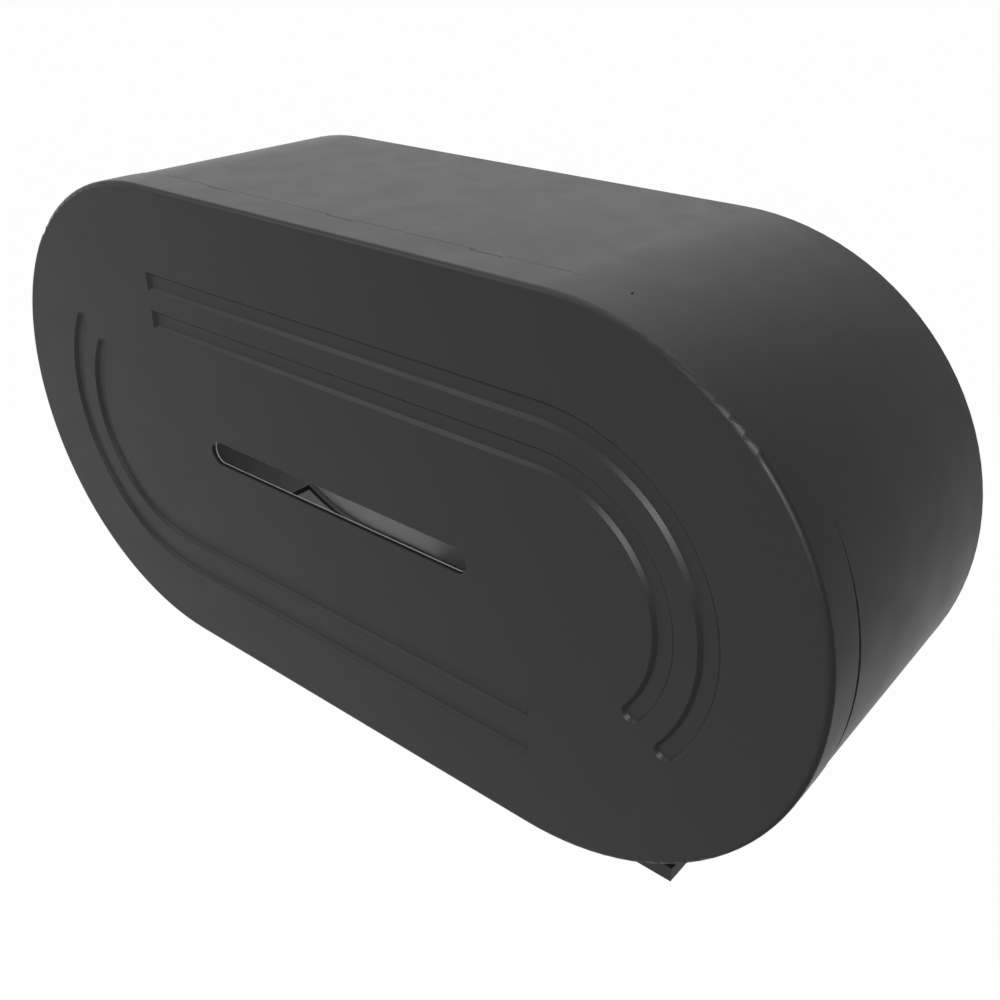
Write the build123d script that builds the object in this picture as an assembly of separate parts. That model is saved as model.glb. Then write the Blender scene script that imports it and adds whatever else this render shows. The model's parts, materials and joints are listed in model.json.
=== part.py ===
# A wall-hung twin-roll napkin dispenser: a stadium-shaped cabinet with two roll bays side by side.
# Frame: origin at the centre of the wall face, +Y into the wall, +Z up, front face at -depth. Millimetres.
import os
from math import asin, cos, radians, sin

from build123d import *

# Cabinet
width = 436.0
height = 225.0
depth = 130.0

# Front cover: a shallow tray that closes the cabinet
cover_depth = 18.3
cover_wall = 2.5
cover_edge_radius = 2.2
window_length = 150.0
window_height = 11.0
groove_radii = (54.5, 71.5)
groove_width = 8.5
groove_depth = 1.4
groove_slope = 1.5
groove_sweep = 34.5
lip_radius = 0.4

# Rear case: the deep shell that hangs on the wall
case_inset = 0.4
case_wall = 3.2
back_wall = 3.0
seam_gap = 0.3
reveal_start = 68.0
reveal_slope = 0.042
tongue_length = 7.0
tongue_wall = 1.6
tongue_clearance = 0.4
tongue_top = 95.0

# Hinge along the top edge
knuckle_radius = 2.0
hinge_gap = 0.3
knuckle_gap = 0.2
cove_end_gap = 0.1
knuckle_width = 14.0
knuckle_places = (-70.0, 0.0, 70.0)
rod_radius = 1.0
rod_overhang = 18.0

# Fits
running = 0.05
part_gap = 0.3
slide_gap = 0.5

# Back plate and its fixings
plate_thickness = 2.5
plate_gap = 0.5
wall_hole_radius = 2.75
wall_hole_x = 75.0
wall_hole_z = 45.0
plate_screw_places = ((0.0, 82.0), (0.0, -82.0), (-180.0, 0.0), (180.0, 0.0))

# Roll spindles
post_radius = 8.0
post_flange_radius = 22.0
post_flange = 3.0
post_length = 91.5
post_screw_circle = 16.0
hub_wall = 5.0
hub_rib = 8.0
hub_rib_width = 2.4
hub_rib_setback = 2.0
hub_rib_count = 6
hub_flange_radius = 32.0
hub_flange = 4.5
washer_radius = 12.0
washer_thickness = 1.5

# Paper outlets in the floor and the tray below them
outlet_inner = 56.0
outlet_outer = 157.5
outlet_front = 28.0
outlet_back = 8.0
outlet_cut_share = 0.6
tray_neck_share = 0.7
tray_wall = 2.0
tray_margin = 1.0
tray_drop = 13.1
rim_height = 7.1
rim_step = 2.2
rim_front_step = 4.5
ledge_width = 4.0
ledge_thickness = 2.0
bridge_thickness = 2.0
bridge_half = 54.0
tray_screw_x = 44.0
tray_screw_inset = 13.0
boss_radius = 4.0
boss_height = 4.2
shutter_thickness = 2.0
shutter_half = 52.0
shutter_height = 3.2
grip_size = (28.0, 12.0)
grip_drop = 5.0
grip_stud_radius = 3.0
tear_bar_thickness = 1.0
tear_pitch = 3.0
tear_depth = 2.5
tear_bar_overlap = 3.5

# Lock in the cover's lower edge, turned with a key from below
lock_setback = 10.0
barrel_radius = 4.75
barrel_length = 12.0
barrel_flange_radius = 6.4
barrel_flange = 1.2
plug_radius = 3.0
key_slot = (4.4, 1.0, 4.0)
nut_radius = 6.6
nut_thickness = 3.0
cam_thickness = 1.5
cam_width = 6.0
cam_hub_wall = 2.0
cam_hook_inner = 14.3
cam_hook_outer = 18.0
cam_hook_angle = 38.0
cam_gap = 0.5
keeper_width = 24.0
keeper_depth = 12.0
keeper_thickness = 2.0
keeper_pin_radius = 1.6
keeper_arm_half = 3.0
lock_notch = 14.0

# Screws: head radius, head height, shank radius, shank length
flange_screw = (3.2, 2.0, 1.6, 7.0)
plate_screw = (3.2, 1.8, 1.6, 4.0)
floor_screw = (3.0, 2.0, 1.5, 7.5)
spindle_screw = (5.0, 2.4, 2.5, 16.0)
blade_screw = (1.6, 1.2, 0.9, 4.0)
cam_fixing = (4.0, 1.4, 1.2, 5.0)
keeper_screw = (2.6, 1.6, 1.3, 4.0)

# Places worked out from the values above
lobe_radius = height / 2
lobe_x = width / 2 - lobe_radius
front_y = -depth
seam_y = front_y + cover_depth
hinge_z = lobe_radius - knuckle_radius
case_top = lobe_radius - case_inset
floor_z = -(case_top - case_wall)
plate_front = -(back_wall + plate_thickness)
flange_front = plate_front - post_flange
post_end = flange_front - post_length
hub_radius = post_radius + hub_wall
tray_bottom = -(lobe_radius + tray_drop)
outlet_front_y = front_y + outlet_front
outlet_back_y = -outlet_back
tray_front = outlet_front_y - tray_margin
tray_back = outlet_back_y + tray_margin + tray_wall
tray_side = outlet_outer + tray_wall
rim_top = tray_bottom + rim_height
blade_low = tray_bottom + blade_screw[1]
tray_inner_front = tray_front + tray_wall
tray_inner_back = tray_back - tray_wall
shutter_low = tray_bottom + shutter_height
shutter_high = shutter_low + shutter_thickness
lock_y = front_y + lock_setback
barrel_top = -lobe_radius + barrel_length
cam_low = barrel_top + part_gap
hinge_rounding_end = lobe_x + (lobe_radius**2 - hinge_z**2) ** 0.5


def block(low, high):
    """A box between two corners."""
    sizes = [b - a for a, b in zip(low, high)]
    middle = [(a + b) / 2 for a, b in zip(low, high)]
    return Pos(*middle) * Box(*sizes)


def rod(start, end, radius):
    """A round bar between two points."""
    path = Vector(*end) - Vector(*start)
    return extrude(Plane(origin=start, z_dir=path) * Circle(radius), amount=path.length)


def slab(outline, low_y, high_y):
    """An outline drawn in X and Z, given its depth along Y."""
    return extrude(Plane.XZ.offset(-high_y) * outline, amount=high_y - low_y)


def stadium(inset):
    """The cabinet's outline, set in all round."""
    return SlotOverall(width - 2 * inset, height - 2 * inset)


def screw(seat, direction, kind):
    """A round-headed screw whose head rests on seat and whose shank runs along direction."""
    head_radius, head_height, shank_radius, shank_length = kind
    seat = Vector(*seat)
    along = Vector(*direction)
    head_top = seat - along * head_height
    body = rod(head_top, seat, head_radius) + rod(seat, seat + along * shank_length, shank_radius)
    drive = Plane(origin=head_top, z_dir=along) * RegularPolygon(head_radius * 0.5, 6)
    return body - extrude(drive, amount=head_height * 0.55)


def pilot(seat, direction, kind):
    """The hole that a screw's shank fills, from its seat."""
    seat = Vector(*seat)
    return rod(seat, seat + Vector(*direction) * kind[3], kind[2])


def both(shape):
    """A shape and its mirror image about the cabinet's middle."""
    return [shape, mirror(shape, about=Plane.YZ)]


def hinge_bar(radius, low_x, high_x):
    """A bar about the hinge line."""
    return rod((low_x, seam_y, hinge_z), (high_x, seam_y, hinge_z), radius)


def groove_cutter(track):
    """One groove of the cover: a straight along the top that runs on round the right lobe."""
    floor_y = front_y + groove_depth
    above = front_y - groove_depth
    floor_half = groove_width / 2 - groove_slope
    open_half = groove_width / 2 + groove_slope
    corners = [(above, track + open_half), (above, track - open_half)]
    corners += [(floor_y, track - floor_half), (floor_y, track + floor_half)]
    section = make_face(Polyline(*[(lobe_x, y, z) for y, z in corners], close=True))
    bend_axis = Axis((lobe_x, 0, 0), (0, 1, 0))
    bend = revolve(section, axis=bend_axis, revolution_arc=90 + groove_sweep)
    length = 2 * lobe_x + groove_slope
    straight = extrude(section, amount=length, dir=(-1, 0, 0))
    side_view = Polyline(
        (-lobe_x - groove_slope, above),
        (-lobe_x + groove_slope, floor_y),
        (lobe_x, floor_y),
        (lobe_x, above),
        close=True,
    )
    straight &= extrude(make_face(side_view), amount=height, both=True)
    half = Polyline((0, above), (open_half, above), (floor_half, floor_y), (0, floor_y), close=True)
    low = radians(groove_sweep)
    end = Pos(lobe_x + track * cos(low), 0, -track * sin(low)) * revolve(make_face(half), axis=Axis.Y)
    return straight, bend, end


def front_outline(shell):
    """The edges of the flat front face, the cabinet's own outline first."""
    face = shell.faces().sort_by(Axis.Y)[0]
    return list(face.outer_wire().edges()) + [edge for wire in face.inner_wires() for edge in wire.edges()]


def front_cover():
    """The tray-shaped cover with its window slot, grooves and hinge knuckles."""
    shell = slab(stadium(0), front_y, seam_y)
    front_edge = shell.faces().sort_by(Axis.Y)[0].edges()
    shell = fillet(front_edge, cover_edge_radius)
    shell -= slab(stadium(cover_wall), front_y + cover_wall, seam_y)
    barrel = hinge_bar(knuckle_radius, -hinge_rounding_end, hinge_rounding_end)
    shell += barrel & slab(stadium(0), front_y, 0)
    rim = front_outline(shell)
    shell -= slab(SlotOverall(window_length, window_height), front_y - 1, front_y + cover_wall + 1)
    for track in groove_radii:
        for cutter in groove_cutter(track):
            shell -= cutter
            shell -= Rot(0, 180, 0) * cutter
    shell = fillet(front_outline(shell)[len(rim):], lip_radius)
    for place in knuckle_places:
        reach = knuckle_width / 2 + knuckle_gap
        shell -= hinge_bar(knuckle_radius + hinge_gap, place - reach, place + reach)
    rod_half = knuckle_places[-1] + rod_overhang
    shell -= hinge_bar(rod_radius + running, -rod_half - part_gap, rod_half + part_gap)
    lock_hole = rod((0, lock_y, -lobe_radius - 1), (0, lock_y, -lobe_radius + cover_wall + 1), barrel_radius)
    return shell - lock_hole


def case_shell():
    """The deep shell, with the finger reveal cut back along the lower half of its rim."""
    shell = slab(stadium(case_inset), seam_y + seam_gap, 0)
    shell -= slab(stadium(case_inset + case_wall), seam_y, -back_wall)
    deepest = reveal_slope * (reveal_start + lobe_radius)
    wedge = Polyline(
        (seam_y - 1, reveal_start),
        (seam_y + seam_gap, reveal_start),
        (seam_y + seam_gap + deepest, -lobe_radius),
        (seam_y - 1, -lobe_radius),
        close=True,
    )
    cut = extrude(Plane.YZ * make_face(wedge), amount=width, both=True)
    return shell - cut


def case_tongue():
    """The inner lip that passes under the cover's skirt and closes the gap to the eye."""
    outer = cover_wall + tongue_clearance
    back = seam_y + seam_gap + reveal_slope * (reveal_start + lobe_radius) + case_wall
    lip = slab(stadium(outer), seam_y - tongue_length, back)
    lip -= slab(stadium(outer + tongue_wall), seam_y - tongue_length - 1, back + 1)
    lip -= block((-width, front_y, tongue_top), (width, 0, lobe_radius))
    notch = block((-lock_notch, front_y, -lobe_radius), (lock_notch, 0, 0))
    return lip - notch


def rear_case():
    """The shell, its lip, the outlets in its floor and its hinge knuckles."""
    case = case_shell() + case_tongue()
    cove_end = hinge_rounding_end + cove_end_gap
    case -= hinge_bar(knuckle_radius + hinge_gap, -cove_end, cove_end)
    for place in knuckle_places:
        half = knuckle_width / 2
        knuckle = hinge_bar(knuckle_radius, place - half, place + half)
        arm_low = (place - half, seam_y, hinge_z - knuckle_radius)
        arm_high = (place + half, seam_y + 2 * knuckle_radius, case_top)
        case += knuckle + block(arm_low, arm_high)
        case -= hinge_bar(rod_radius, place - half - 1, place + half + 1)
    cut_top = -lobe_radius * outlet_cut_share
    outlet = block((outlet_inner, outlet_front_y, -lobe_radius), (outlet_outer, outlet_back_y, cut_top))
    for opening in both(outlet):
        case -= opening
    for x, y in tray_screw_places():
        case += rod((x, y, floor_z), (x, y, floor_z + boss_height), boss_radius)
        case -= pilot((x, y, bridge_low()), (0, 0, 1), floor_screw)
    for x, z in wall_holes():
        case -= rod((x, -back_wall - 1, z), (x, 1, z), wall_hole_radius)
    for seat in post_screw_seats():
        case -= pilot(seat, (0, 1, 0), flange_screw)
    for x, z in plate_screw_places:
        case -= pilot((x, plate_front, z), (0, 1, 0), plate_screw)
    for seat in keeper_screw_seats():
        case -= pilot(seat, (0, 0, -1), keeper_screw)
    return case


def wall_holes():
    return [(x, z) for x in (-wall_hole_x, wall_hole_x) for z in (-wall_hole_z, wall_hole_z)]


def post_screw_seats():
    """Three screws through each spindle's flange."""
    seats = []
    for side in (-1, 1):
        for turn in (90, 210, 330):
            x = side * lobe_x + post_screw_circle * cos(radians(turn))
            seats.append((x, flange_front, post_screw_circle * sin(radians(turn))))
    return seats


def tray_screw_places():
    ys = (tray_front + tray_screw_inset, tray_back - tray_screw_inset)
    return [(x, y) for x in (-tray_screw_x, tray_screw_x) for y in ys]


def bridge_low():
    return -case_top - bridge_thickness


def mounting_plate():
    """The pale plate that lines the back of the cabinet and carries the spindles."""
    plate = slab(stadium(case_inset + case_wall + plate_gap), plate_front, -back_wall)
    for x, z in wall_holes():
        plate -= rod((x, plate_front - 1, z), (x, 0, z), wall_hole_radius)
    for seat in post_screw_seats():
        plate -= pilot(seat, (0, 1, 0), flange_screw)
    for x, z in plate_screw_places:
        plate -= pilot((x, plate_front, z), (0, 1, 0), plate_screw)
    return plate


def spindle_post(x):
    """A flanged post that holds one roll hub."""
    post = rod((x, flange_front, 0), (x, plate_front, 0), post_flange_radius)
    post += rod((x, post_end, 0), (x, flange_front, 0), post_radius)
    for seat in post_screw_seats():
        post -= pilot(seat, (0, 1, 0), flange_screw)
    return post - pilot((x, post_end - washer_thickness, 0), (0, 1, 0), spindle_screw)


def roll_hub(x):
    """A ribbed sleeve with a rear flange, free to turn on its post."""
    rear = flange_front - part_gap
    front = post_end + part_gap
    hub = rod((x, front, 0), (x, rear, 0), hub_radius)
    hub += rod((x, rear - hub_flange, 0), (x, rear, 0), hub_flange_radius)
    rib_low = (x - hub_rib_width / 2, front + hub_rib_setback, 0)
    rib_high = (x + hub_rib_width / 2, rear, hub_radius + hub_rib)
    rib = block(rib_low, rib_high)
    for step in range(hub_rib_count):
        turned = Pos(x, 0, 0) * Rot(0, step * 360 / hub_rib_count, 0) * Pos(-x, 0, 0) * rib
        hub += turned
    clear = rod((x, front - 1, 0), (x, rear + 1, 0), post_radius + running)
    # the flange's screw heads turn inside a relief at the hub's rear
    relief_radius = post_screw_circle + flange_screw[0] + 1
    relief = rod((x, rear - flange_screw[1] - part_gap, 0), (x, rear + 1, 0), relief_radius)
    return hub - clear - relief


def spindle_washer(x):
    washer = rod((x, post_end - washer_thickness, 0), (x, post_end, 0), washer_radius)
    return washer - pilot((x, post_end - washer_thickness, 0), (0, 1, 0), spindle_screw)


def outlet_tray():
    """The open frame below the floor: a neck that meets the case, and a wider rim at its foot."""
    neck_top = -lobe_radius * tray_neck_share
    tray = block((-tray_side, tray_front, tray_bottom), (tray_side, tray_back, neck_top))
    rim_low = (-tray_side - rim_step, tray_front - rim_front_step, tray_bottom)
    tray += block(rim_low, (tray_side + rim_step, tray_back + rim_step, rim_top))
    tray -= block((-outlet_outer, tray_inner_front, tray_bottom - 1), (outlet_outer, tray_inner_back, 0))
    ledge_high = shutter_low - part_gap
    ledge_low = ledge_high - ledge_thickness
    for near, far in (
        (tray_inner_front, tray_inner_front + ledge_width),
        (tray_inner_back - ledge_width, tray_inner_back),
    ):
        tray += block((-outlet_outer, near, ledge_low), (outlet_outer, far, ledge_high))
    bridge = block(
        (-bridge_half, tray_inner_front, bridge_low()),
        (bridge_half, tray_inner_back, -case_top),
    )
    tray += bridge
    tray -= slab(stadium(case_inset), front_y, 0)
    near, far = blade_ends()
    seat_low = (outlet_outer - 1, near, tray_bottom - 1)
    seat_high = (outlet_outer + tear_bar_overlap, far, blade_low + tear_bar_thickness)
    for pocket in both(block(seat_low, seat_high)):
        tray -= pocket
    for x, y in tray_screw_places():
        tray -= pilot((x, y, bridge_low()), (0, 0, 1), floor_screw)
    for seat in blade_screw_seats():
        tray -= pilot(seat, (0, 0, 1), blade_screw)
    return tray


def blade_ends():
    inset = ledge_width + part_gap
    return tray_inner_front + inset, tray_inner_back - inset


def blade_screw_seats():
    low, high = blade_ends()
    x = outlet_outer + tear_bar_overlap / 2
    return [(side * x, y, blade_low) for side in (-1, 1) for y in (low + 12, high - 12)]


def tear_bar():
    """A thin blade let into the rim at an outlet's outer edge, with saw teeth that point inwards."""
    low, high = blade_ends()
    count = int((high - low) / tear_pitch)
    pitch = (high - low) / count
    root = outlet_outer - 1
    back = outlet_outer + tear_bar_overlap
    points = [(back, high), (back, low), (root, low)]
    for tooth in range(count):
        points.append((root - tear_depth, low + (tooth + 0.5) * pitch))
        points.append((root, low + (tooth + 1) * pitch))
    outline = make_face(Polyline(*points, close=True))
    bar = extrude(Plane.XY.offset(blade_low) * outline, amount=tear_bar_thickness)
    for seat in blade_screw_seats():
        if seat[0] > 0:
            bar -= pilot(seat, (0, 0, 1), blade_screw)
    return bar


def grip_middle():
    return (tray_inner_front + tray_inner_back) / 2


def selector_shutter():
    """The sliding plate that closes one outlet at a time."""
    low = (-shutter_half, tray_inner_front + slide_gap, shutter_low)
    high = (shutter_half, tray_inner_back - slide_gap, shutter_high)
    stud = rod((0, grip_middle(), shutter_low - 1), (0, grip_middle(), shutter_high + 1), grip_stud_radius)
    return block(low, high) - stud


def shutter_grip():
    """The finger grip pressed into the shutter."""
    half_x, half_y = grip_size[0] / 2, grip_size[1] / 2
    middle = grip_middle()
    low_z = tray_bottom - grip_drop
    bar = block((-half_x, middle - half_y, low_z), (half_x, middle + half_y, shutter_low))
    bar = fillet(bar.edges().filter_by(Axis.Z), half_y * 0.6)
    stud = rod((0, middle, shutter_low), (0, middle, shutter_high), grip_stud_radius)
    return bar + stud


def lock_barrel():
    """The lock's housing, with its flange outside the cover's lower edge."""
    barrel = rod((0, lock_y, -lobe_radius - barrel_flange), (0, lock_y, -lobe_radius), barrel_flange_radius)
    barrel += rod((0, lock_y, -lobe_radius), (0, lock_y, barrel_top), barrel_radius)
    return barrel - rod((0, lock_y, -height), (0, lock_y, height), plug_radius + running)


def lock_nut():
    """The hexagonal nut that holds the lock's housing from inside."""
    seat = -lobe_radius + cover_wall
    nut = extrude(Plane((0, lock_y, seat)) * RegularPolygon(nut_radius, 6), amount=nut_thickness)
    return nut - rod((0, lock_y, seat - 1), (0, lock_y, seat + nut_thickness + 1), barrel_radius)


def lock_plug():
    """The part that the key turns, with its key slot underneath."""
    low = -lobe_radius - barrel_flange
    plug = rod((0, lock_y, low), (0, lock_y, cam_low + cam_thickness), plug_radius)
    slot_length, slot_width, slot_depth = key_slot
    slot_low = (-slot_length / 2, lock_y - slot_width / 2, low - 1)
    plug -= block(slot_low, (slot_length / 2, lock_y + slot_width / 2, low + slot_depth))
    return plug - pilot((0, lock_y, cam_low + cam_thickness), (0, 0, -1), cam_fixing)


def lock_cam():
    """The arm on the plug, with a hook ahead of its tip; unlocked, it lies along the cover."""
    arm = block((0, -cam_width / 2, 0), (cam_hook_outer - 1, cam_width / 2, cam_thickness))
    ring = Circle(cam_hook_outer) - Circle(cam_hook_inner)
    hook_reach = [(0, 0), (50, 0), (50 * cos(radians(cam_hook_angle)), 50 * sin(radians(cam_hook_angle)))]
    sector = make_face(Polyline(*hook_reach, close=True))
    hook = extrude(ring & sector, amount=cam_thickness)
    hub = extrude(Circle(plug_radius + cam_hub_wall), amount=cam_thickness)
    arm = arm & extrude(Circle(cam_hook_outer), amount=cam_thickness)
    cam = Pos(0, lock_y, cam_low) * (arm + hook + hub)
    return cam - rod((0, lock_y, cam_low - 1), (0, lock_y, cam_low + 3), plug_radius)


def cam_screw():
    """The screw and its wide head, which hold the cam on the plug."""
    return screw((0, lock_y, cam_low + cam_thickness), (0, 0, -1), cam_fixing)


def keeper_screw_seats():
    y = keeper_back() - keeper_depth / 2
    return [(x, y, floor_z + keeper_thickness) for x in (-keeper_width / 3, keeper_width / 3)]


def keeper_back():
    return seam_y + seam_gap + reveal_slope * (reveal_start + lobe_radius) + case_wall + keeper_depth


def keeper():
    """The bracket on the case's floor, with the pin that the cam hooks behind."""
    base_front = keeper_back() - keeper_depth
    half = keeper_width / 2
    bracket = block((-half, base_front, floor_z), (half, keeper_back(), floor_z + keeper_thickness))
    reach = cam_hook_inner - keeper_pin_radius - cam_gap
    beside_arm = asin((cam_width / 2 + keeper_pin_radius + cam_gap) / reach)
    pin_x = -reach * sin(beside_arm)
    pin_y = lock_y + reach * cos(beside_arm)
    arm_low = (pin_x - keeper_arm_half, pin_y - keeper_pin_radius, floor_z)
    arm_high = (pin_x + keeper_arm_half, base_front + 1, floor_z + keeper_thickness)
    bracket += block(arm_low, arm_high)
    bracket += rod((pin_x, pin_y, floor_z), (pin_x, pin_y, cam_low + cam_thickness + 1), keeper_pin_radius)
    for seat in keeper_screw_seats():
        bracket -= pilot(seat, (0, 0, -1), keeper_screw)
    return bracket


def save(name, *shapes):
    """Write one named sub-part, as one solid or a group of separate solids."""
    solids = [solid for shape in shapes for solid in shape.solids()]
    body = solids[0] if len(solids) == 1 else Compound(children=solids)
    body.label = name
    export_step(body, "parts/" + name + ".step")


def main():
    os.makedirs("parts", exist_ok=True)
    save("front_cover", front_cover())
    save("rear_case", rear_case())
    save("mounting_plate", mounting_plate())
    save("plate_screws", *[screw((x, plate_front, z), (0, 1, 0), plate_screw) for x, z in plate_screw_places])
    for side, x in (("left", -lobe_x), ("right", lobe_x)):
        save("spindle_post_" + side, spindle_post(x))
        save("roll_hub_" + side, roll_hub(x))
    save("spindle_flange_screws", *[screw(seat, (0, 1, 0), flange_screw) for seat in post_screw_seats()])
    save("spindle_washers", spindle_washer(-lobe_x), spindle_washer(lobe_x))
    head_y = post_end - washer_thickness
    save("spindle_end_screws", *[screw((x, head_y, 0), (0, 1, 0), spindle_screw) for x in (-lobe_x, lobe_x)])
    save("outlet_tray", outlet_tray())
    seats = [(x, y, bridge_low()) for x, y in tray_screw_places()]
    save("tray_screws", *[screw(seat, (0, 0, 1), floor_screw) for seat in seats])
    right_bar, left_bar = both(tear_bar())
    save("tear_bar_right", right_bar)
    save("tear_bar_left", left_bar)
    save("tear_bar_screws", *[screw(seat, (0, 0, 1), blade_screw) for seat in blade_screw_seats()])
    save("selector_shutter", selector_shutter())
    save("shutter_grip", shutter_grip())
    rod_half = knuckle_places[-1] + rod_overhang
    save("hinge_rod", hinge_bar(rod_radius, -rod_half, rod_half))
    save("lock_barrel", lock_barrel())
    save("lock_nut", lock_nut())
    save("lock_plug", lock_plug())
    save("lock_cam", lock_cam())
    save("cam_screw", cam_screw())
    save("lock_keeper", keeper())
    save("keeper_screws", *[screw(seat, (0, 0, -1), keeper_screw) for seat in keeper_screw_seats()])


main()
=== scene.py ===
import json
import math

import bpy
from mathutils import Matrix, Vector


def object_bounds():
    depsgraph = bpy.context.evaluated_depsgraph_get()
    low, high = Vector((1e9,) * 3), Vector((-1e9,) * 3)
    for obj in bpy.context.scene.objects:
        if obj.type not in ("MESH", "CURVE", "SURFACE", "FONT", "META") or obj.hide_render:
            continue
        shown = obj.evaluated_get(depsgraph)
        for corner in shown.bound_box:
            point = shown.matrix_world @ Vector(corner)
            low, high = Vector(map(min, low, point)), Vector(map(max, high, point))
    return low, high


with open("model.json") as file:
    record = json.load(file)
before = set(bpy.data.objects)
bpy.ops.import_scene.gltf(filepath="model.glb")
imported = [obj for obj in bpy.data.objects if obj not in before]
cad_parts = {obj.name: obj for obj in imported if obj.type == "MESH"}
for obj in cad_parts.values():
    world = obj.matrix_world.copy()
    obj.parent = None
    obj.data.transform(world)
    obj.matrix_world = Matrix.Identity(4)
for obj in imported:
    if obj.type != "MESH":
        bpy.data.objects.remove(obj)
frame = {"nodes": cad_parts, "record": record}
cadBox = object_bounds()
nodes = frame["nodes"]
print("frame loaded:", len(nodes), "parts")

# The dispenser hangs on a wall: +X to the right, +Y into the wall, +Z up, metres


def addNode(tree, kind, **settings):
    node = tree.nodes.new(kind)
    for name, value in settings.items():
        if name == "inputs":
            for socket, socketValue in value.items():
                node.inputs[socket].default_value = socketValue
        else:
            setattr(node, name, value)
    return node


def newGroup(name, inputs, outputs):
    group = bpy.data.node_groups.new(name, "ShaderNodeTree")
    for label, kind, value in inputs:
        socket = group.interface.new_socket(name=label, in_out="INPUT", socket_type=kind)
        socket.default_value = value
    for label, kind in outputs:
        group.interface.new_socket(name=label, in_out="OUTPUT", socket_type=kind)
    return group, group.nodes.new("NodeGroupInput"), group.nodes.new("NodeGroupOutput")


def useGroup(tree, group, values):
    node = tree.nodes.new("ShaderNodeGroup")
    node.node_tree = group
    for label, value in values.items():
        node.inputs[label].default_value = value
    return node


grainSet = {
    "poreShare": 0.55,
    "cloudScale": 14.0,
    "smearScale": 55.0,
}


# Fine spark-eroded grain of a moulded plastic shell, with faint flow clouds and a little handling polish
def mouldedGrain():
    group, given, result = newGroup(
        "mouldedGrain",
        [
            ("Color", "NodeSocketColor", (0.03, 0.03, 0.03, 1)),
            ("Cloud Amount", "NodeSocketFloat", 0.06),
            ("Grain Scale", "NodeSocketFloat", 1500.0),
            ("Grain Height", "NodeSocketFloat", 0.2),
            ("Roughness", "NodeSocketFloat", 0.5),
            ("Roughness Spread", "NodeSocketFloat", 0.06),
        ],
        [("Color", "NodeSocketColor"), ("Roughness", "NodeSocketFloat"), ("Height", "NodeSocketFloat")],
    )
    link = group.links.new
    place = addNode(group, "ShaderNodeTexCoord")
    grain = addNode(group, "ShaderNodeTexNoise", inputs={"Detail": 3.0, "Roughness": 0.6})
    pores = addNode(group, "ShaderNodeTexVoronoi", feature="F1")
    clouds = addNode(group, "ShaderNodeTexNoise", inputs={
        "Scale": grainSet["cloudScale"], "Detail": 4.0, "Roughness": 0.55,
    })
    smears = addNode(group, "ShaderNodeTexNoise", inputs={
        "Scale": grainSet["smearScale"], "Detail": 5.0, "Distortion": 0.4,
    })
    for texture in (grain, pores, clouds, smears):
        link(place.outputs["Object"], texture.inputs["Vector"])
    link(given.outputs["Grain Scale"], grain.inputs["Scale"])
    poreScale = addNode(group, "ShaderNodeMath", operation="MULTIPLY", inputs={1: grainSet["poreShare"]})
    link(given.outputs["Grain Scale"], poreScale.inputs[0])
    link(poreScale.outputs[0], pores.inputs["Scale"])
    height = addNode(group, "ShaderNodeMath", operation="ADD")
    link(grain.outputs["Fac"], height.inputs[0])
    link(pores.outputs["Distance"], height.inputs[1])
    scaled = addNode(group, "ShaderNodeMath", operation="MULTIPLY")
    link(height.outputs[0], scaled.inputs[0])
    link(given.outputs["Grain Height"], scaled.inputs[1])
    link(scaled.outputs[0], result.inputs["Height"])
    shade = addNode(group, "ShaderNodeMapRange", inputs={1: 0.3, 2: 0.7, 3: -1.0, 4: 1.0})
    link(clouds.outputs["Fac"], shade.inputs[0])
    amount = addNode(group, "ShaderNodeMath", operation="MULTIPLY_ADD", inputs={2: 1.0})
    link(shade.outputs[0], amount.inputs[0])
    link(given.outputs["Cloud Amount"], amount.inputs[1])
    tint = addNode(group, "ShaderNodeVectorMath", operation="SCALE")
    link(given.outputs["Color"], tint.inputs[0])
    link(amount.outputs[0], tint.inputs["Scale"])
    link(tint.outputs[0], result.inputs["Color"])
    spread = addNode(group, "ShaderNodeMapRange", inputs={1: 0.35, 2: 0.65, 3: -1.0, 4: 1.0})
    link(smears.outputs["Fac"], spread.inputs[0])
    rough = addNode(group, "ShaderNodeMath", operation="MULTIPLY_ADD")
    link(spread.outputs[0], rough.inputs[0])
    link(given.outputs["Roughness Spread"], rough.inputs[1])
    link(given.outputs["Roughness"], rough.inputs[2])
    link(rough.outputs[0], result.inputs["Roughness"])
    return group


# Wear starts at the first bend value and is full at the second; 0.5 is a flat face
wearSet = {
    "bendFrom": 0.5,
    "bendFull": 0.62,
    "patchFrom": 0.45,
    "patchFull": 0.62,
    "patchLeast": 0.25,
}


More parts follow.
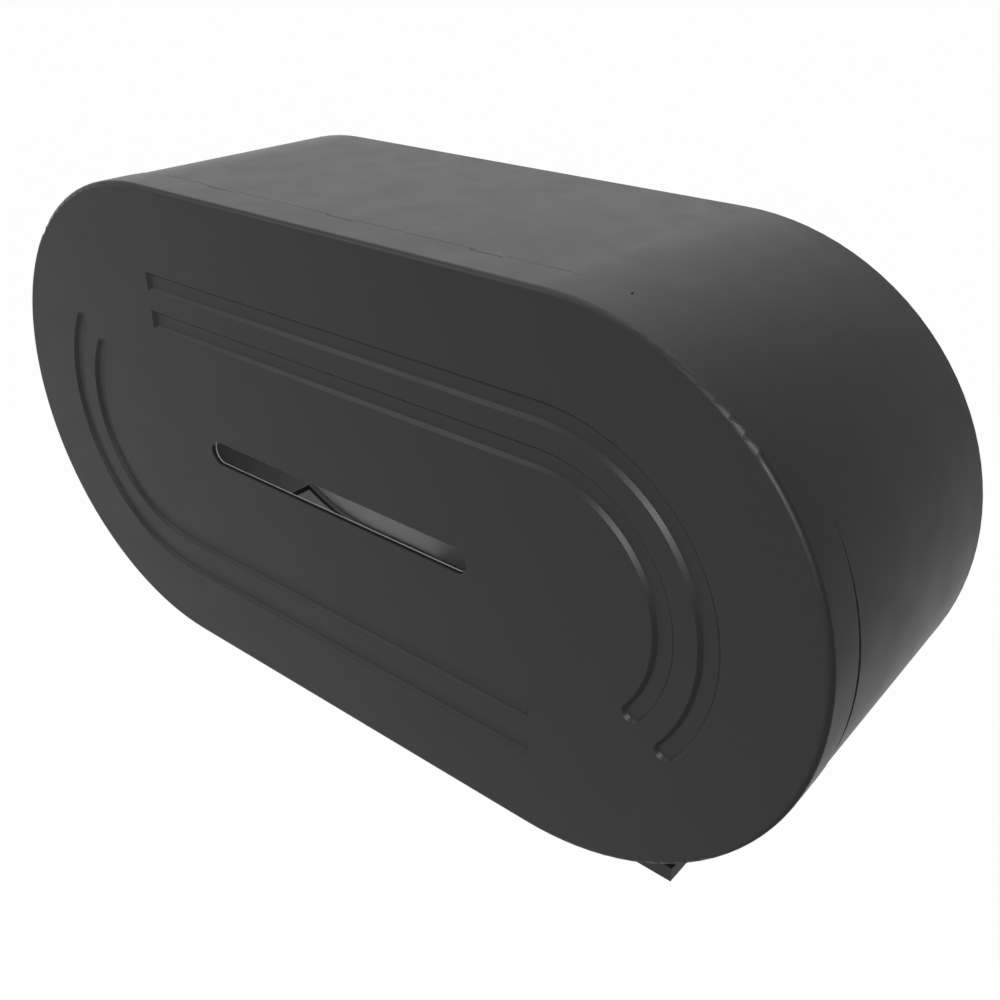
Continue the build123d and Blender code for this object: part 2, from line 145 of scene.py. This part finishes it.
# Lighter rubbed edges, in patches, read from how much the surface bends
def edgeWear():
    group, given, result = newGroup(
        "edgeWear",
        [
            ("Color", "NodeSocketColor", (0.03, 0.03, 0.03, 1)),
            ("Worn Color", "NodeSocketColor", (0.08, 0.08, 0.08, 1)),
            ("Amount", "NodeSocketFloat", 0.3),
            ("Patch Scale", "NodeSocketFloat", 90.0),
        ],
        [("Color", "NodeSocketColor"), ("Mask", "NodeSocketFloat")],
    )
    link = group.links.new
    place = addNode(group, "ShaderNodeTexCoord")
    bend = addNode(group, "ShaderNodeNewGeometry")
    patches = addNode(group, "ShaderNodeTexNoise", inputs={"Detail": 6.0, "Roughness": 0.7})
    link(place.outputs["Object"], patches.inputs["Vector"])
    link(given.outputs["Patch Scale"], patches.inputs["Scale"])
    edge = addNode(group, "ShaderNodeMapRange", inputs={
        1: wearSet["bendFrom"], 2: wearSet["bendFull"], 3: 0.0, 4: 1.0,
    })
    link(bend.outputs["Pointiness"], edge.inputs[0])
    broken = addNode(group, "ShaderNodeMapRange", inputs={
        1: wearSet["patchFrom"], 2: wearSet["patchFull"], 3: wearSet["patchLeast"], 4: 1.0,
    })
    link(patches.outputs["Fac"], broken.inputs[0])
    both = addNode(group, "ShaderNodeMath", operation="MULTIPLY")
    link(edge.outputs[0], both.inputs[0])
    link(broken.outputs[0], both.inputs[1])
    mask = addNode(group, "ShaderNodeMath", operation="MULTIPLY", use_clamp=True)
    link(both.outputs[0], mask.inputs[0])
    link(given.outputs["Amount"], mask.inputs[1])
    mix = addNode(group, "ShaderNodeMix", data_type="RGBA")
    link(mask.outputs[0], mix.inputs["Factor"])
    link(given.outputs["Color"], mix.inputs[6])
    link(given.outputs["Worn Color"], mix.inputs[7])
    link(mix.outputs[2], result.inputs["Color"])
    link(mask.outputs[0], result.inputs["Mask"])
    return group


brushSet = {
    "stainScale": 60.0,
    "stainSpread": 0.12,
}


# Straight grinding marks on steel, drawn out along one direction
def brushedMarks():
    group, given, result = newGroup(
        "brushedMarks",
        [
            ("Color", "NodeSocketColor", (0.5, 0.5, 0.5, 1)),
            ("Stretch", "NodeSocketVector", (1.0, 1.0, 1.0)),
            ("Contrast", "NodeSocketFloat", 0.15),
            ("Roughness", "NodeSocketFloat", 0.3),
        ],
        [("Color", "NodeSocketColor"), ("Roughness", "NodeSocketFloat"), ("Height", "NodeSocketFloat")],
    )
    link = group.links.new
    place = addNode(group, "ShaderNodeTexCoord")
    draw = addNode(group, "ShaderNodeVectorMath", operation="MULTIPLY")
    link(place.outputs["Object"], draw.inputs[0])
    link(given.outputs["Stretch"], draw.inputs[1])
    lines = addNode(group, "ShaderNodeTexNoise", inputs={"Scale": 1.0, "Detail": 4.0, "Roughness": 0.7})
    stains = addNode(group, "ShaderNodeTexNoise", inputs={"Scale": brushSet["stainScale"], "Detail": 3.0})
    link(draw.outputs[0], lines.inputs["Vector"])
    link(place.outputs["Object"], stains.inputs["Vector"])
    shade = addNode(group, "ShaderNodeMapRange", inputs={1: 0.3, 2: 0.7, 3: -1.0, 4: 1.0})
    link(lines.outputs["Fac"], shade.inputs[0])
    amount = addNode(group, "ShaderNodeMath", operation="MULTIPLY_ADD", inputs={2: 1.0})
    link(shade.outputs[0], amount.inputs[0])
    link(given.outputs["Contrast"], amount.inputs[1])
    tint = addNode(group, "ShaderNodeVectorMath", operation="SCALE")
    link(given.outputs["Color"], tint.inputs[0])
    link(amount.outputs[0], tint.inputs["Scale"])
    link(tint.outputs[0], result.inputs["Color"])
    uneven = addNode(group, "ShaderNodeMath", operation="MULTIPLY_ADD", inputs={1: brushSet["stainSpread"]})
    link(stains.outputs["Fac"], uneven.inputs[0])
    link(given.outputs["Roughness"], uneven.inputs[2])
    link(uneven.outputs[0], result.inputs["Roughness"])
    link(lines.outputs["Fac"], result.inputs["Height"])
    return group


# Marks the inner faces of the two shells, which take the painted light: 1 inside the cabinet, 0 on its outer
# skin and in its front openings
def insideMask():
    group, given, result = newGroup(
        "insideMask",
        [
            ("Half Straight", "NodeSocketFloat", 0.1),
            ("Inner Radius", "NodeSocketFloat", 0.1),
            ("Inner Front", "NodeSocketFloat", -0.1),
            ("Inner Back", "NodeSocketFloat", -0.002),
        ],
        [("Mask", "NodeSocketFloat")],
    )
    link = group.links.new
    place = addNode(group, "ShaderNodeTexCoord")
    parts = addNode(group, "ShaderNodeSeparateXYZ")
    link(place.outputs["Object"], parts.inputs[0])
    across = addNode(group, "ShaderNodeMath", operation="ABSOLUTE")
    link(parts.outputs["X"], across.inputs[0])
    beyond = addNode(group, "ShaderNodeMath", operation="SUBTRACT")
    link(across.outputs[0], beyond.inputs[0])
    link(given.outputs["Half Straight"], beyond.inputs[1])
    along = addNode(group, "ShaderNodeMath", operation="MAXIMUM", inputs={1: 0.0})
    link(beyond.outputs[0], along.inputs[0])
    flat = addNode(group, "ShaderNodeCombineXYZ")
    link(along.outputs[0], flat.inputs["X"])
    link(parts.outputs["Z"], flat.inputs["Y"])
    radius = addNode(group, "ShaderNodeVectorMath", operation="LENGTH")
    link(flat.outputs[0], radius.inputs[0])
    within = addNode(group, "ShaderNodeMath", operation="LESS_THAN")
    link(radius.outputs["Value"], within.inputs[0])
    link(given.outputs["Inner Radius"], within.inputs[1])
    behind = addNode(group, "ShaderNodeMath", operation="GREATER_THAN")
    link(parts.outputs["Y"], behind.inputs[0])
    link(given.outputs["Inner Front"], behind.inputs[1])
    before = addNode(group, "ShaderNodeMath", operation="LESS_THAN")
    link(parts.outputs["Y"], before.inputs[0])
    link(given.outputs["Inner Back"], before.inputs[1])
    deep = addNode(group, "ShaderNodeMath", operation="MULTIPLY")
    link(behind.outputs[0], deep.inputs[0])
    link(before.outputs[0], deep.inputs[1])
    mask = addNode(group, "ShaderNodeMath", operation="MULTIPLY")
    link(within.outputs[0], mask.inputs[0])
    link(deep.outputs[0], mask.inputs[1])
    link(mask.outputs[0], result.inputs["Mask"])
    return group


# Marks the inner faces of the tray's neck, which take the painted light: 1 within a box, above its lower face
def neckMask():
    group, given, result = newGroup(
        "neckMask",
        [
            ("Half Length", "NodeSocketFloat", 0.1),
            ("Middle", "NodeSocketFloat", -0.05),
            ("Half Width", "NodeSocketFloat", 0.05),
            ("Lower Face", "NodeSocketFloat", -0.12),
        ],
        [("Mask", "NodeSocketFloat")],
    )
    link = group.links.new
    place = addNode(group, "ShaderNodeTexCoord")
    parts = addNode(group, "ShaderNodeSeparateXYZ")
    link(place.outputs["Object"], parts.inputs[0])
    across = addNode(group, "ShaderNodeMath", operation="COMPARE", inputs={1: 0.0})
    link(parts.outputs["X"], across.inputs[0])
    link(given.outputs["Half Length"], across.inputs[2])
    deep = addNode(group, "ShaderNodeMath", operation="COMPARE")
    link(parts.outputs["Y"], deep.inputs[0])
    link(given.outputs["Middle"], deep.inputs[1])
    link(given.outputs["Half Width"], deep.inputs[2])
    above = addNode(group, "ShaderNodeMath", operation="GREATER_THAN")
    link(parts.outputs["Z"], above.inputs[0])
    link(given.outputs["Lower Face"], above.inputs[1])
    flat = addNode(group, "ShaderNodeMath", operation="MULTIPLY")
    link(across.outputs[0], flat.inputs[0])
    link(deep.outputs[0], flat.inputs[1])
    mask = addNode(group, "ShaderNodeMath", operation="MULTIPLY")
    link(flat.outputs[0], mask.inputs[0])
    link(above.outputs[0], mask.inputs[1])
    link(mask.outputs[0], result.inputs["Mask"])
    return group


grainGroup = mouldedGrain()
wearGroup = edgeWear()
insideGroup = insideMask()
neckGroup = neckMask()
brushGroup = brushedMarks()
print("shared effects made")


def newMaterial(name):
    material = bpy.data.materials.new(name)
    material.use_nodes = True
    tree = material.node_tree
    shader = tree.nodes["Principled BSDF"]
    return material, tree, shader


def addBump(tree, shader, height, strength, distance):
    bump = addNode(tree, "ShaderNodeBump", inputs={"Strength": strength, "Distance": distance})
    tree.links.new(height, bump.inputs["Height"])
    tree.links.new(bump.outputs["Normal"], shader.inputs["Normal"])


def plasticMaterial(name, look):
    material, tree, shader = newMaterial(name)
    grain = useGroup(tree, grainGroup, {
        "Color": look["color"],
        "Cloud Amount": look["clouds"],
        "Grain Scale": look["grainScale"],
        "Grain Height": look["grainHeight"],
        "Roughness": look["roughness"],
        "Roughness Spread": look["spread"],
    })
    wear = useGroup(tree, wearGroup, {
        "Worn Color": look["worn"],
        "Amount": look["wear"],
        "Patch Scale": look["patches"],
    })
    link = tree.links.new
    link(grain.outputs["Color"], wear.inputs["Color"])
    # Painted light: where a look gives an inside colour, its masked inner faces are painted pale, standing in
    # for the light seen inside the cabinet instead of their shade
    if "inside" in look:
        inside = useGroup(tree, look["maskGroup"], look["maskValues"])
        paintedInsideLight = addNode(tree, "ShaderNodeMix", data_type="RGBA")
        paintedInsideLight.inputs[7].default_value = look["inside"]
        link(inside.outputs["Mask"], paintedInsideLight.inputs["Factor"])
        link(wear.outputs["Color"], paintedInsideLight.inputs[6])
        link(paintedInsideLight.outputs[2], shader.inputs["Base Color"])
    else:
        link(wear.outputs["Color"], shader.inputs["Base Color"])
    link(grain.outputs["Roughness"], shader.inputs["Roughness"])
    addBump(tree, shader, grain.outputs["Height"], look["bump"], look["bumpDepth"])
    shader.inputs["Specular IOR Level"].default_value = look["specular"]
    shader.inputs["IOR"].default_value = look["ior"]
    return material


def metalMaterial(name, look):
    material, tree, shader = newMaterial(name)
    marks = useGroup(tree, brushGroup, {
        "Color": look["color"],
        "Stretch": look["stretch"],
        "Contrast": look["contrast"],
        "Roughness": look["roughness"],
    })
    wear = useGroup(tree, wearGroup, {
        "Worn Color": look["worn"],
        "Amount": look["wear"],
        "Patch Scale": look["patches"],
    })
    link = tree.links.new
    link(marks.outputs["Color"], wear.inputs["Color"])
    link(wear.outputs["Color"], shader.inputs["Base Color"])
    link(marks.outputs["Roughness"], shader.inputs["Roughness"])
    addBump(tree, shader, marks.outputs["Height"], look["bump"], look["bumpDepth"])
    shader.inputs["Metallic"].default_value = 1.0
    return material


cabinetLook = {
    "color": (0.020, 0.020, 0.0205, 1),
    "worn": (0.050, 0.050, 0.051, 1),
    "clouds": 0.03,
    "grainScale": 1700.0,
    "grainHeight": 0.5,
    "roughness": 0.44,
    "spread": 0.02,
    "wear": 0.03,
    "patches": 60.0,
    "bump": 0.22,
    "bumpDepth": 0.00012,
    "specular": 0.5,
    "ior": 1.49,
}
# Painted light: the shells' inner faces get a pale colour that stands in for the light seen inside through
# the front slot; the skin and the tongue's outer side stay black.
# The inside is a stadium in metres: half its straight length, its radius and the place of its front
shellLook = dict(cabinetLook)
shellLook["inside"] = (0.60, 0.605, 0.61, 1)
shellLook["maskGroup"] = insideGroup
shellLook["maskValues"] = {"Half Straight": 0.1055, "Inner Radius": 0.1091, "Inner Front": -0.1280}
# The tray's neck gets the same painted light inside, a pale colour in place of its shade: a box in metres,
# above the lower face
trayLook = dict(cabinetLook)
trayLook["inside"] = shellLook["inside"]
trayLook["maskGroup"] = neckGroup
trayLook["maskValues"] = {
    "Half Length": 0.1577,
    "Middle": -0.0540,
    "Half Width": 0.0472,
    "Lower Face": -0.1235,
}
linerLook = {
    "color": (0.66, 0.665, 0.67, 1),
    "worn": (0.74, 0.74, 0.74, 1),
    "clouds": 0.05,
    "grainScale": 1200.0,
    "grainHeight": 0.4,
    "roughness": 0.5,
    "spread": 0.05,
    "wear": 0.3,
    "patches": 80.0,
    "bump": 0.15,
    "bumpDepth": 0.0001,
    "specular": 0.5,
    "ior": 1.49,
}
spindleLook = {
    "color": (0.17, 0.175, 0.18, 1),
    "worn": (0.30, 0.30, 0.30, 1),
    "clouds": 0.08,
    "grainScale": 1500.0,
    "grainHeight": 0.4,
    "roughness": 0.42,
    "spread": 0.06,
    "wear": 0.5,
    "patches": 150.0,
    "bump": 0.15,
    "bumpDepth": 0.0001,
    "specular": 0.5,
    "ior": 1.49,
}
steelLook = {
    "color": (0.58, 0.58, 0.57, 1),
    "worn": (0.75, 0.75, 0.74, 1),
    "stretch": (900.0, 22.0, 900.0),
    "contrast": 0.16,
    "roughness": 0.22,
    "wear": 0.5,
    "bump": 0.2,
    "bumpDepth": 0.00004,
    "patches": 240.0,
}
zincLook = {
    "color": (0.60, 0.61, 0.63, 1),
    "worn": (0.78, 0.78, 0.78, 1),
    "stretch": (500.0, 500.0, 500.0),
    "contrast": 0.12,
    "roughness": 0.26,
    "wear": 0.4,
    "bump": 0.15,
    "bumpDepth": 0.00004,
    "patches": 240.0,
}
nickelLook = {
    "color": (0.66, 0.65, 0.61, 1),
    "worn": (0.80, 0.79, 0.75, 1),
    "stretch": (420.0, 420.0, 60.0),
    "contrast": 0.08,
    "roughness": 0.16,
    "wear": 0.4,
    "bump": 0.1,
    "bumpDepth": 0.00004,
    "patches": 240.0,
}

blackPlastic = plasticMaterial("blackPlastic", cabinetLook)
shellPlastic = plasticMaterial("shellPlastic", shellLook)
trayPlastic = plasticMaterial("trayPlastic", trayLook)
paleLiner = plasticMaterial("paleLiner", linerLook)
greyPlastic = plasticMaterial("greyPlastic", spindleLook)
brushedSteel = metalMaterial("brushedSteel", steelLook)
zincPlate = metalMaterial("zincPlate", zincLook)
satinNickel = metalMaterial("satinNickel", nickelLook)
print("finishes made")

finishOfSlot = {
    "cabinet": blackPlastic,
    "inner_plate": paleLiner,
    "inner_moulding": greyPlastic,
    "steel": brushedSteel,
    "zinc": zincPlate,
    "lock_metal": satinNickel,
}
slotOfNode = {part["node"]: part["material_slot"] for part in frame["record"]["subparts"]}
finishOfNode = {"front_cover": shellPlastic, "rear_case": shellPlastic, "outlet_tray": trayPlastic}
for nodeName, part in nodes.items():
    for materialSlot in part.material_slots:
        materialSlot.material = finishOfNode.get(nodeName, finishOfSlot[slotOfNode[nodeName]])
print("finishes put on the CAD parts")

# Where the dispenser is seen from: the angles are about the aim point on its front face
viewSet = {
    "azimuth": 39.74,
    "elevation": 30.47,
    "distance": 0.3898,
    "aimRight": 0.085,
    "aimUp": 0.0199,
    "lens": 39.23,
    "shiftRight": 0.0129,
    "shiftUp": 0.0281,
    "sensor": 36.0,
    "nearest": 0.01,
}


def placeCamera(look):
    turn, rise = math.radians(look["azimuth"]), math.radians(look["elevation"])
    aim = Vector((look["aimRight"], cadBox[0].y, look["aimUp"]))
    towards = Vector((math.sin(turn) * math.cos(rise), -math.cos(turn) * math.cos(rise), math.sin(rise)))
    data = bpy.data.cameras.new("viewCamera")
    data.lens = look["lens"]
    data.sensor_width = look["sensor"]
    data.shift_x = look["shiftRight"]
    data.shift_y = look["shiftUp"]
    data.clip_start = look["nearest"]
    camera = bpy.data.objects.new("viewCamera", data)
    camera.location = aim + towards * look["distance"]
    camera.rotation_euler = (-towards).to_track_quat("-Z", "Y").to_euler()
    bpy.context.scene.collection.objects.link(camera)
    bpy.context.scene.camera = camera


# A soft bright side behind the cabinet's left, and a dim side in front of it and to its right
studioSet = {
    "brightSide": (-0.59, 0.76, -0.27),
    "dimLevel": 0.175,
    "brightLevel": 1.12,
    "dimUntil": 0.25,
    "brightFrom": 0.85,
    "fillSide": (-0.57, -0.68, -0.46),
    "fillLevel": 0.38,
    "fillFrom": 0.3,
    "fillFull": 0.95,
}


def makeStudio(look):
    world = bpy.data.worlds.new("studio")
    world.use_nodes = True
    bpy.context.scene.world = world
    tree = world.node_tree
    link = tree.links.new
    background = tree.nodes["Background"]
    place = addNode(tree, "ShaderNodeTexCoord")
    side = addNode(tree, "ShaderNodeVectorMath", operation="DOT_PRODUCT", inputs={1: look["brightSide"]})
    link(place.outputs["Generated"], side.inputs[0])
    level = addNode(tree, "ShaderNodeMapRange", interpolation_type="SMOOTHSTEP", inputs={
        1: look["dimUntil"], 2: look["brightFrom"], 3: look["dimLevel"], 4: look["brightLevel"],
    })
    link(side.outputs["Value"], level.inputs[0])
    ahead = addNode(tree, "ShaderNodeVectorMath", operation="DOT_PRODUCT", inputs={1: look["fillSide"]})
    link(place.outputs["Generated"], ahead.inputs[0])
    fill = addNode(tree, "ShaderNodeMapRange", interpolation_type="SMOOTHSTEP", inputs={
        1: look["fillFrom"], 2: look["fillFull"], 3: 0.0, 4: look["fillLevel"],
    })
    link(ahead.outputs["Value"], fill.inputs[0])
    total = addNode(tree, "ShaderNodeMath", operation="ADD")
    link(level.outputs[0], total.inputs[0])
    link(fill.outputs[0], total.inputs[1])
    path = addNode(tree, "ShaderNodeLightPath")
    seen = addNode(tree, "ShaderNodeMix", data_type="FLOAT", inputs={3: 1.0})
    link(path.outputs["Is Camera Ray"], seen.inputs[0])
    link(total.outputs[0], seen.inputs[2])
    link(seen.outputs[0], background.inputs["Strength"])
    background.inputs["Color"].default_value = (1, 1, 1, 1)


# A pale sheet far below, which shows mostly its own even light to the camera
floorSet = {
    "below": 1.20,
    "size": 60.0,
    "ownLight": 0.98,
    "color": (0.9, 0.9, 0.9, 1),
    "roughness": 0.9,
}


def makeFloor(look):
    mesh = bpy.data.meshes.new("studioFloor")
    half = look["size"] / 2
    level = cadBox[0].z - look["below"]
    corners = [(-half, -half, level), (half, -half, level), (half, half, level), (-half, half, level)]
    mesh.from_pydata(corners, [], [(0, 1, 2, 3)])
    floor = bpy.data.objects.new("studioFloor", mesh)
    bpy.context.scene.collection.objects.link(floor)
    material, tree, shader = newMaterial("palePaper")
    shader.inputs["Base Color"].default_value = look["color"]
    shader.inputs["Roughness"].default_value = look["roughness"]
    glow = addNode(tree, "ShaderNodeEmission", inputs={"Strength": 1.0})
    path = addNode(tree, "ShaderNodeLightPath")
    share = addNode(tree, "ShaderNodeMath", operation="MULTIPLY", inputs={1: look["ownLight"]})
    tree.links.new(path.outputs["Is Camera Ray"], share.inputs[0])
    mix = addNode(tree, "ShaderNodeMixShader")
    tree.links.new(share.outputs[0], mix.inputs[0])
    tree.links.new(shader.outputs[0], mix.inputs[1])
    tree.links.new(glow.outputs[0], mix.inputs[2])
    tree.links.new(mix.outputs[0], tree.nodes["Material Output"].inputs["Surface"])
    mesh.materials.append(material)
    floor.visible_glossy = False


# Each lamp: where it stands, what it faces, how wide it is and how strong
lampSet = {
    "topPanel": {"at": (-0.1, 0.1, 1.3), "size": 1.4, "power": 6.0},
    "frontLeft": {"at": (-1.0, -1.0, 1.1), "size": 0.9, "power": 4.5},
    "slotLight": {"at": (0.91, -1.25, 0.78), "size": 0.7, "power": 14.0},
}


def placeLamp(name, look):
    data = bpy.data.lights.new(name, "AREA")
    data.shape = "DISK"
    data.size = look["size"]
    data.energy = look["power"]
    lamp = bpy.data.objects.new(name, data)
    lamp.location = look["at"]
    lamp.rotation_euler = (-Vector(look["at"])).to_track_quat("-Z", "Y").to_euler()
    bpy.context.scene.collection.objects.link(lamp)


placeCamera(viewSet)
makeStudio(studioSet)
makeFloor(floorSet)
for lampName, lampLook in lampSet.items():
    placeLamp(lampName, lampLook)
bpy.context.scene.view_settings.view_transform = "Standard"
bpy.context.scene.view_settings.look = "None"
print("camera, studio and lamps placed")
